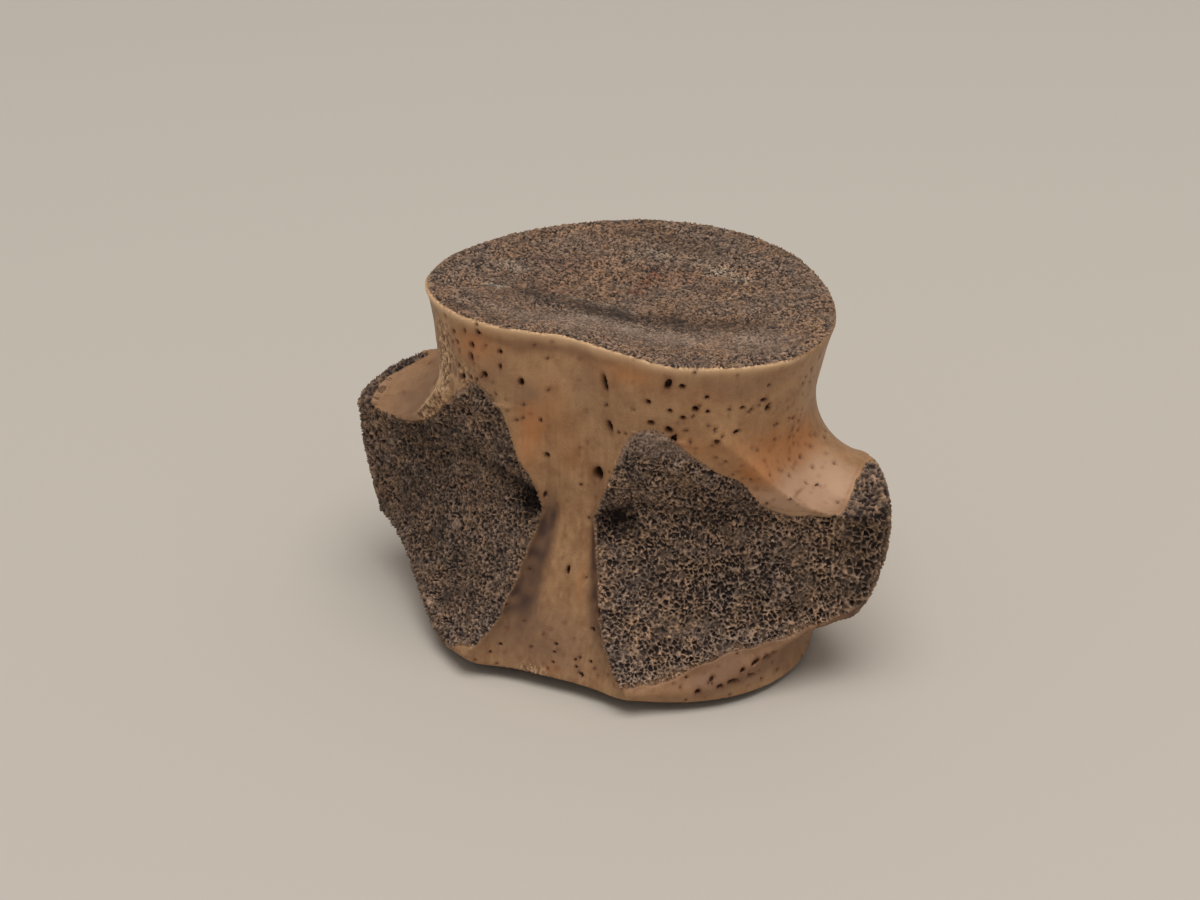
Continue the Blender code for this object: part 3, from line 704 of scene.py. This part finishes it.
def sponge(points, on_facet, top):
    """The broken spongy bone: depth of its pores from 0 to 1, tone from -1 dark to 1 pale, hue and pits."""
    x, y, height = points.T
    warp = np.stack([soft_noise(points, 0.3, seed) for seed in (21, 22, 23)], axis=1)
    warped = points + PORE_WARP * warp
    fine = pores(warped, FACE_CELL, 32)
    coarse = pores(warped, FACET_CELL, 31)
    broad = pores(warped, TIP_CELL, 33)
    at_tip = smooth_step(np.abs(x), *TIP_CELL_SIDE)
    facet_pores = coarse + at_tip * (broad - coarse)
    depth = fine + on_facet * (facet_pores - fine)
    broad_noise = soft_noise(points, 1.7, 41) + 0.6 * soft_noise(points, 0.8, 42)
    middle_noise = soft_noise(points, 0.45, 46)
    small_noise = soft_noise(points, 0.16, 43)
    lost = smooth_step(-soft_noise(points, 0.26, 49) - 0.5 * middle_noise, 0.15, 0.65)
    depth = np.maximum(depth * (0.95 + 0.25 * middle_noise) - 0.1 * small_noise, 0.5 * lost)
    smooth_top = patches(x, y, SMOOTH_SPOTS) * (top > 0.0)
    smooth_facet = on_facet * (x > 0.0) * smooth_step(height, 15.8, 17.2)
    plain = np.clip(smooth_top + smooth_facet, 0.0, 1.0)
    depth *= (0.95 + 0.12 * broad_noise) * (1.0 - 0.4 * plain)
    beyond = np.abs(x) - canal_half_width(height)
    pit = bump(height, 1.0, PIT_HEIGHT + 0.1, 1.1) * bump(beyond, 1.0, 0.7, 1.2) * on_facet
    ragged = points + 0.5 * np.stack([soft_noise(points, 1.1, seed) for seed in (27, 28, 29)], axis=1)
    dark = patches(ragged[:, 0], ragged[:, 2], DARK_BROKEN) * on_facet
    pale = patches(ragged[:, 0], ragged[:, 2], PALE_BROKEN) * on_facet
    tone = 0.2 * broad_noise + (0.3 + 0.12 * on_facet) * small_noise + 0.15 * plain - 0.7 * pit
    tone += (0.2 + 0.12 * on_facet) * middle_noise
    # The last term makes the left arch facet darker: painted shade on the side away from the light.
    tone += 0.3 * pale - 0.5 * dark - 0.22 * on_facet * (x < 0.0)
    hue = 0.5 * soft_noise(points, 0.5, 47) + 0.5 * soft_noise(points, 2.4, 48) - 0.8 * plain
    return np.clip(depth + 0.3 * pit + 0.15 * dark, 0.0, 1.2), tone, hue, pit


def carve(mesh):
    """Gives the settled net its pores, holes, lips and striae, and stores what the finishes read."""
    points = points_of(mesh)
    normals = normals_of(mesh)
    x, y, height = points.T
    top, base, facet = zones(points)
    soft = 0.08 + 0.5 * smooth_step(height, 15.0, 17.5) * (np.abs(x) < 9.0)
    on_facet = smooth_step(facet / soft, -0.4, 1.0)
    spongy = np.maximum(smooth_step(np.maximum(top, base), -0.03, 0.08), on_facet)

    depth = np.zeros(len(points))
    tone = np.zeros(len(points))
    hue = np.zeros(len(points))
    pit = np.zeros(len(points))
    inner = spongy > 0.0
    depth[inner], tone[inner], hue[inner], pit[inner] = sponge(points[inner], on_facet[inner], top[inner])
    grain = soft_noise(points, 0.13, 44)
    at_tip = smooth_step(np.abs(x), *TIP_CELL_SIDE)
    pore_relief = PORE_RELIEF + FACET_RELIEF * on_facet + TIP_RELIEF * at_tip
    sponge_shift = -pore_relief * (depth - PORE_MEAN) - PIT_RELIEF * pit * depth + 0.02 * grain
    sponge_shift += 0.06 * soft_noise(points, 1.5, 45) * (1.0 - on_facet) - 0.02

    ragged = points + 0.3 * np.stack([soft_noise(points, 0.9, seed) for seed in (24, 25, 26)], axis=1)
    across, forward, up = ragged.T
    on_back = smooth_step(3.0 - y, 0.0, 2.0)
    opening, hole_depth, stain = hole_field(points)
    nearest, _, number = cell_noise(points + 0.04 * grain[:, None], PINHOLE_CELL, 51)
    pierced = number < PINHOLE_SHARE + PINHOLE_SHARE_GAIN * patches(across, up, POROUS) * on_back
    pinhole = smooth_step(PINHOLE_RADIUS - nearest, 0.0, PINHOLE_SLOPE) * pierced
    stain = np.maximum(stain, smooth_step(PINHOLE_STAIN - nearest, 0.0, 0.4) * pierced)
    crumbled = patches(across, up, CRUMBLED) * on_back
    slant = points @ np.array([[0.8, 0.0, 0.6], [0.0, 0.5, 0.0], [-0.6, 0.0, 0.8]]).T
    slant = slant * np.array([1.0, 1.0, 0.5]) + 0.08 * grain[:, None]
    pitted = crumbled * pores(slant, CRUMBLED_CELL, 52)
    fibres = soft_noise(points * FIBRE_STRETCH, FIBRE_SIZE, 61)
    relief = FIBRE_RELIEF * fibres + 0.03 * soft_noise(points, 1.4, 62)
    relief += CRUMBLED_SWELL * crumbled - CRUMBLED_DEPTH * pitted
    lip = bump(-facet, *FACET_LIP) * (facet < 0.0) * (1.0 - rounded_top(x, height))
    # The rim band is raised a little and also painted pale: a painted highlight along the upper rim's back
    # edge.
    rim = bump(-top, *RIM_LIP) * (top < 0.0) * smooth_step(-y, 0.0, 2.0)
    crack = bump(facet, *CRACK) * (x > 11.8) * (x < 15.9) * (height > 11.5)
    cortex = relief + lip + RIM_LIP_HEIGHT * rim - hole_depth - PINHOLE_DEPTH * pinhole - CRACK_DEPTH * crack

    shift = spongy * sponge_shift + (1.0 - spongy) * cortex
    low = smooth_step(height, 0.02, 0.3)
    shift = np.where(base > 0.0, np.minimum(shift, 0.0), shift) * np.where(base > 0.0, 1.0, low)
    place_points(mesh, points + normals * shift[:, None])

    on_top = (top > 0.0) * 1.0
    canal = (1.0 - on_facet) * (y < 0.0)
    share = x / canal_half_width(height)
    span = np.clip(2.0 * bump(height, *GROOVE_SHADE_AND_TINT), 0.0, 1.0)
    groove = span * np.maximum(smooth_step(-share, 0.26, 0.6), 0.9 * smooth_step(share, 0.5, 0.75))
    groove *= 0.85 + 0.3 * soft_noise(points, 0.6, 63)
    fibres = fibres * (0.35 + 0.65 * (np.abs(share) < 1.0) * smooth_step(19.0 - height, 0.0, 4.0))
    # The pore value also sets how far the spongy finishes paint shade into each pore.
    store(mesh, "pore", spongy * depth)
    store(mesh, "hue", hue)
    store(mesh, "edge", 1.0 - spongy)
    # Spots of the upper face darken its tone, mostly as painted shade.
    store(mesh, "tone", tone - 0.85 * patches(across, forward, DARK_AND_SHADE_SPOTS) * on_top)
    for name, places in (("red", RED_SPOTS), ("chalk", CHALKY_SPOTS)):
        store(mesh, name, patches(across, forward, places) * on_top)
    # The opening value sets how far the outer finish paints shade into the holes, pinholes and the crack.
    store(mesh, "opening", np.maximum.reduce([opening, 0.75 * pinhole, 0.5 * crack]) * (1.0 - spongy))
    store(mesh, "crumbled", pitted)
    # Of these four, the last is painted shade, and the third is partly painted light.
    for name, places in (("orange", ORANGE), ("grey", GREY), ("pink_and_painted_light", PINK_AND_PAINTED_LIGHT_PATCHES), ("painted_shade", PAINTED_SHADE_PATCHES)):
        store(mesh, name, patches(across, up, places) * on_back)
    store(mesh, "stain", stain * (1.0 - spongy))
    # The lip colour is a painted highlight along the upper rim's back edge, and the pale colour of the
    # ridges between the crumbled pits.
    store(mesh, "lip", np.maximum(rim, crumbled - pitted))
    # The groove tint is partly the grooves' own purple-brown and partly painted shade in them.
    store(mesh, "groove", groove * canal)
    store(mesh, "fibre", fibres)
    return top, base, facet


def store(mesh, name, values):
    """Keeps one number for each corner of the net, which the materials read."""
    kept = mesh.attributes.new(name, "FLOAT", "POINT")
    kept.data.foreach_set("value", values.astype(np.float32))


def islands(neighbours, chosen):
    """Groups of chosen faces that hang together, the largest first."""
    left = set(chosen)
    groups = []
    while left:
        seed = left.pop()
        group = [seed]
        edge = [seed]
        while edge:
            for near in neighbours[edge.pop()]:
                if near in left:
                    left.remove(near)
                    group.append(near)
                    edge.append(near)
        groups.append(group)
    return sorted(groups, key=len, reverse=True)


def face_zones(mesh, top, base, facet):
    """Zone of each face of the net, with stray islands given back to what lies round them."""
    count = len(mesh.polygons)
    starts = np.empty(count, int)
    mesh.polygons.foreach_get("loop_start", starts)
    corners = np.empty(len(mesh.loops), int)
    mesh.loops.foreach_get("vertex_index", corners)
    sizes = np.diff(np.append(starts, len(corners)))

    def mean(values):
        return np.add.reduceat(values[corners], starts) / sizes

    zone = np.full(count, OUTER)
    right = mean(points_of(mesh)[:, 0]) > 0.0
    zone[(mean(facet) > 0.0) & right] = RIGHT
    zone[(mean(facet) > 0.0) & ~right] = LEFT
    zone[mean(top) > 0.0] = UPPER
    zone[mean(base) > 0.0] = LOWER
    work = bmesh.new()
    work.from_mesh(mesh)
    neighbours = [[near.index for edge in face.edges for near in edge.link_faces if near != face]
                  for face in work.faces]
    work.free()
    for kind in (UPPER, LOWER, RIGHT, LEFT):
        for stray in islands(neighbours, np.flatnonzero(zone == kind).tolist())[1:]:
            zone[stray] = OUTER
    for stray in islands(neighbours, np.flatnonzero(zone == OUTER).tolist())[1:]:
        around = {int(zone[near]) for face in stray for near in neighbours[face]} - {OUTER}
        zone[stray] = min(around)
    return zone


def make_piece(name, mesh, chosen, material):
    """A closed wedge of the bone: the chosen faces of the skin, with walls to the bone's core."""
    work = bmesh.new()
    work.from_mesh(mesh)
    others = [face for face, wanted in zip(work.faces, chosen) if not wanted]
    bmesh.ops.delete(work, geom=others, context="FACES")
    rim = [edge for edge in work.edges if edge.is_boundary]
    for edge in rim:
        edge.smooth = False
    made = bmesh.ops.extrude_edge_only(work, edges=rim)
    inner = [item for item in made["geom"] if isinstance(item, bmesh.types.BMVert)]
    bmesh.ops.pointmerge(work, verts=inner, merge_co=Vector((CORE + MIDDLE) * MM))
    bmesh.ops.recalc_face_normals(work, faces=work.faces)
    wedge = bpy.data.meshes.new(name)
    work.to_mesh(wedge)
    work.free()
    wedge.materials.append(material)
    wedge.polygons.foreach_set("use_smooth", np.ones(len(wedge.polygons), bool))
    piece = bpy.data.objects.new(name, wedge)
    bpy.context.scene.collection.objects.link(piece)
    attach(piece, "root")
    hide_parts("centrum")


def colour(red, green, blue):
    """A colour given as on a screen, from 0 to 255, for a shader."""
    seen = np.array([red, green, blue]) / 255.0
    light = np.where(seen <= 0.04045, seen / 12.92, ((seen + 0.055) / 1.055) ** 2.4)
    return (*light, 1.0)


class Net:
    """Adds nodes to a material or a group, with inputs given as values or as other nodes' outputs."""

    def __init__(self, tree):
        self.tree = tree

    def add(self, kind, settings=None, **inputs):
        node = self.tree.nodes.new(kind)
        for name, value in (settings or {}).items():
            setattr(node, name, value)
        for name, value in inputs.items():
            label = int(name[1:]) if name[1:].isdigit() else name.replace("_", " ")
            socket = node.inputs[label]
            if isinstance(value, bpy.types.NodeSocket):
                self.tree.links.new(value, socket)
            else:
                socket.default_value = value
        return node

    def attribute(self, name):
        return self.add("ShaderNodeAttribute", {"attribute_name": name}).outputs["Fac"]

    def noise(self, where, scale, detail, roughness):
        node = self.add("ShaderNodeTexNoise", None, Vector=where, Scale=scale, Detail=detail,
                        Roughness=roughness)
        return node.outputs["Fac"]

    def sharpen(self, value, low, high):
        """Stretches the part of a value between low and high to 0 to 1."""
        node = self.add("ShaderNodeMapRange", {"interpolation_type": "SMOOTHSTEP"}, Value=value)
        node.inputs["From Min"].default_value = low
        node.inputs["From Max"].default_value = high
        return node.outputs["Result"]

    def times(self, first, second):
        return self.add("ShaderNodeMath", {"operation": "MULTIPLY"}, _0=first, _1=second).outputs[0]

    def mix(self, share, first, second, kind="MIX"):
        node = self.add("ShaderNodeMix", {"data_type": "RGBA", "blend_type": kind}, _0=share, _6=first,
                        _7=second)
        return node.outputs[2]


def new_group(name, inputs, outputs):
    """An empty shader group with named inputs and outputs, and the nodes that hold them."""
    group = bpy.data.node_groups.new(name, "ShaderNodeTree")
    for label, kind, value in inputs:
        socket = group.interface.new_socket(name=label, in_out="INPUT", socket_type=kind)
        socket.default_value = value
    for label, kind in outputs:
        group.interface.new_socket(name=label, in_out="OUTPUT", socket_type=kind)
    net = Net(group)
    return group, net, net.add("NodeGroupInput"), net.add("NodeGroupOutput")


def mottle_group():
    """Patches of two tones over a colour, a few millimetres across, with a fine mineral grain on top."""
    group, net, given, result = new_group(
        "mineral_mottle",
        [("Colour", "NodeSocketColor", (0.5, 0.5, 0.5, 1.0)),
         ("Light Tone", "NodeSocketColor", (1.0, 1.0, 1.0, 1.0)),
         ("Dark Tone", "NodeSocketColor", (0.0, 0.0, 0.0, 1.0)),
         ("Amount", "NodeSocketFloat", 0.5), ("Grain", "NodeSocketFloat", 0.3)],
        [("Colour", "NodeSocketColor"), ("Height", "NodeSocketFloat")])
    where = net.add("ShaderNodeTexCoord").outputs["Object"]
    broad = net.sharpen(net.noise(where, 420.0, 4.0, 0.6), 0.35, 0.68)
    patch = net.sharpen(net.noise(where, 900.0, 4.0, 0.6), 0.4, 0.75)
    fine = net.noise(where, 9000.0, 4.0, 0.65)
    amount = given.outputs["Amount"]
    tone = net.mix(net.times(broad, amount), given.outputs["Colour"], given.outputs["Light Tone"])
    tone = net.mix(net.times(patch, amount), tone, given.outputs["Dark Tone"])
    grey = net.add("ShaderNodeMapRange", None, Value=fine)
    grey.inputs["To Min"].default_value = 0.45
    grey.inputs["To Max"].default_value = 1.55
    grained = net.mix(1.0, tone, grey.outputs["Result"], "MULTIPLY")
    final = net.mix(given.outputs["Grain"], tone, grained)
    net.tree.links.new(final, result.inputs["Colour"])
    net.tree.links.new(fine, result.inputs["Height"])
    return group


def painted_opening_shade_group():
    """Darkens a colour where an opening goes into the bone: painted shade of the opening's depth."""
    group, net, given, result = new_group(
        "hollow_shade",
        [("Colour", "NodeSocketColor", (0.5, 0.5, 0.5, 1.0)), ("Opening", "NodeSocketFloat", 0.0),
         ("Depths", "NodeSocketColor", (0.01, 0.01, 0.01, 1.0)), ("Start", "NodeSocketFloat", 0.2),
         ("End", "NodeSocketFloat", 0.8)],
        [("Colour", "NodeSocketColor")])
    painted_shade = net.add("ShaderNodeMapRange", {"interpolation_type": "SMOOTHSTEP"},
                    Value=given.outputs["Opening"])
    net.tree.links.new(given.outputs["Start"], painted_shade.inputs["From Min"])
    net.tree.links.new(given.outputs["End"], painted_shade.inputs["From Max"])
    final = net.mix(painted_shade.outputs["Result"], given.outputs["Colour"], given.outputs["Depths"])
    net.tree.links.new(final, result.inputs["Colour"])
    return group


def new_material(name, roughness):
    material = bpy.data.materials.new(name)
    material.use_nodes = True
    shader = material.node_tree.nodes["Principled BSDF"]
    shader.inputs["Roughness"].default_value = roughness
    shader.inputs["Specular IOR Level"].default_value = 0.35
    return material, Net(material.node_tree), shader


def outer_bone_material(mottle, hollow):
    """Smooth tan bone with orange, grey and pinkish patches, fine striae along it and little holes, with
    painted shade and a painted highlight.
    """
    material, net, shader = new_material("outer_bone", 0.5)
    fibre = net.sharpen(net.attribute("fibre"), -0.5, 0.6)
    base = net.mix(fibre, colour(156, 116, 80), colour(174, 134, 96))
    toned = net.add("ShaderNodeGroup", {"node_tree": mottle}, Colour=base, Light_Tone=colour(190, 150, 110),
                    Dark_Tone=colour(124, 82, 54), Amount=0.45, Grain=0.6)
    base = toned.outputs["Colour"]
    # Of these tints, the dark brown (112, 74, 50) is painted shade under the upper rim and low on the bone;
    # the pale (232, 192, 150) is a painted highlight along the upper rim's back edge, and also the colour of
    # the ridges in the crumbled patches; the dark purple (80, 57, 48) is partly the canal grooves' colour
    # and partly painted shade; the pale pink (204, 164, 134) is partly the right shelf's colour and partly
    # painted light.
    for name, strength, tint in (("orange", 0.55, (196, 124, 66)), ("grey", 0.7, (122, 96, 80)),
                                 ("pink_and_painted_light", 0.75, (204, 164, 134)), ("painted_shade", 0.6, (112, 74, 50)),
                                 ("groove", 1.0, (80, 57, 48)), ("lip", 1.0, (232, 192, 150)),
                                 ("stain", 0.5, (112, 68, 42)), ("crumbled", 0.9, (78, 52, 38))):
        base = net.mix(net.times(net.attribute(name), strength), base, colour(*tint))
    # Holes, pinholes and the crack get painted shade.
    dark = net.add("ShaderNodeGroup", {"node_tree": hollow}, Colour=base,
                   Opening=net.attribute("opening"), Depths=colour(50, 31, 24), Start=0.25, End=0.85)
    net.tree.links.new(dark.outputs["Colour"], shader.inputs["Base Color"])
    rise = net.add("ShaderNodeBump", None, Height=toned.outputs["Height"], Strength=0.15, Distance=0.00004)
    net.tree.links.new(rise.outputs["Normal"], shader.inputs["Normal"])
    return material


def spongy_material(name, mottle, hollow, brown, grey, depths):
    """Open spongy bone: pale struts round pores darkened with painted shade, with the tones and hues that
    the net carries.
    """
    material, net, shader = new_material(name, 0.75)
    base = net.mix(net.sharpen(net.attribute("hue"), -0.6, 0.6), grey, brown)
    base = net.mix(net.times(net.attribute("red"), 0.8), base, colour(150, 88, 60))
    base = net.mix(net.times(net.attribute("chalk"), 0.8), base, colour(206, 192, 172))
    lightness = net.add("ShaderNodeMapRange", None, Value=net.attribute("tone"))
    lightness.inputs["From Min"].default_value = -1.0
    lightness.inputs["To Min"].default_value = 0.1
    lightness.inputs["To Max"].default_value = 1.9
    base = net.mix(1.0, base, lightness.outputs["Result"], "MULTIPLY")
    base = net.mix(net.attribute("edge"), base, colour(150, 114, 84))
    toned = net.add("ShaderNodeGroup", {"node_tree": mottle}, Colour=base, Light_Tone=brown,
                    Dark_Tone=depths, Amount=0.15, Grain=0.5)
    dark = net.add("ShaderNodeGroup", {"node_tree": hollow}, Colour=toned.outputs["Colour"],
                   Opening=net.attribute("pore"), Depths=depths, Start=0.0, End=0.9)
    # Tiny pores drawn in colour alone, darkened towards the painted shade of the depths.
    where = net.add("ShaderNodeTexCoord").outputs["Object"]
    cells = net.add("ShaderNodeTexVoronoi", {"feature": "DISTANCE_TO_EDGE"}, Vector=where, Scale=4600.0)
    pinpoint = net.times(net.sharpen(cells.outputs["Distance"], 0.06, 0.3), 0.5)
    fine = net.mix(pinpoint, dark.outputs["Colour"], depths)
    net.tree.links.new(fine, shader.inputs["Base Color"])
    rise = net.add("ShaderNodeBump", None, Height=toned.outputs["Height"], Strength=0.4, Distance=0.00006)
    net.tree.links.new(rise.outputs["Normal"], shader.inputs["Normal"])
    return material


def add_area_light(name, place, aim, size, power, tint):
    lamp = bpy.data.lights.new(name, "AREA")
    lamp.shape = "DISK"
    lamp.size = size
    lamp.energy = power
    lamp.color = tint
    carrier = bpy.data.objects.new(name, lamp)
    carrier.location = place
    carrier.rotation_euler = (Vector(place) - Vector(aim)).to_track_quat("Z", "Y").to_euler()
    bpy.context.scene.collection.objects.link(carrier)


def make_studio():
    """Camera of the photograph, a plain pale floor and soft light from above."""
    scene = bpy.context.scene
    camera = bpy.data.objects.new("camera", bpy.data.cameras.new("camera"))
    camera.data.lens = CAMERA_LENS
    camera.data.sensor_width = CAMERA_SENSOR
    camera.data.clip_start = 0.01
    camera.data.clip_end = 20.0
    camera.location = (np.array(CAMERA_PLACE) + MIDDLE) * MM
    camera.rotation_euler = np.radians(CAMERA_TURN)
    scene.collection.objects.link(camera)
    scene.camera = camera
    scene.view_settings.view_transform = "Standard"

    ground = bmesh.new()
    bmesh.ops.create_grid(ground, x_segments=1, y_segments=1, size=3.0)
    mesh = bpy.data.meshes.new("floor")
    ground.to_mesh(mesh)
    ground.free()
    material, _, shader = new_material("pale_floor", 0.6)
    shader.inputs["Base Color"].default_value = colour(204, 197, 187)
    mesh.materials.append(material)
    floor = bpy.data.objects.new("floor", mesh)
    scene.collection.objects.link(floor)

    world = bpy.data.worlds.new("soft_room")
    world.use_nodes = True
    world.node_tree.nodes["Background"].inputs["Color"].default_value = (1.0, 0.97, 0.93, 1.0)
    world.node_tree.nodes["Background"].inputs["Strength"].default_value = 0.36
    scene.world = world
    add_area_light("ceiling", (0.1, -0.12, 0.7), (0.0, 0.0, 0.01), 0.6, 3.4, (1.0, 0.97, 0.93))


def main():
    make_studio()
    net = fine_net(frame["nodes"]["centrum"])
    settle(net)
    rough = np.maximum.reduce(zones(points_of(net))) > -FINE_BAND
    rough |= hole_field(points_of(net))[0] > 0.0
    x, y, height = points_of(net).T
    rough |= (patches(x, height, CRUMBLED) > 0.15) & (y < 2.0)
    split_faces(net, rough)
    settle(net)
    zone = face_zones(net, *carve(net))

    mottle = mottle_group()
    hollow = painted_opening_shade_group()
    outer = outer_bone_material(mottle, hollow)
    # The last colour of each spongy finish is the painted shade deep in its pores.
    facet = spongy_material("arch_facet", mottle, hollow, colour(188, 152, 122), colour(164, 140, 124),
                            colour(36, 25, 24))
    face = spongy_material("joint_face", mottle, hollow, colour(176, 138, 108), colour(154, 130, 112),
                           colour(36, 25, 21))
    for name, kind, material in (("outer_bone", OUTER, outer), ("upper_joint_face", UPPER, face),
                                 ("lower_joint_face", LOWER, face), ("right_arch_facet", RIGHT, facet),
                                 ("left_arch_facet", LEFT, facet)):
        make_piece(name, net, zone == kind, material)
    bpy.data.meshes.remove(net)


main()
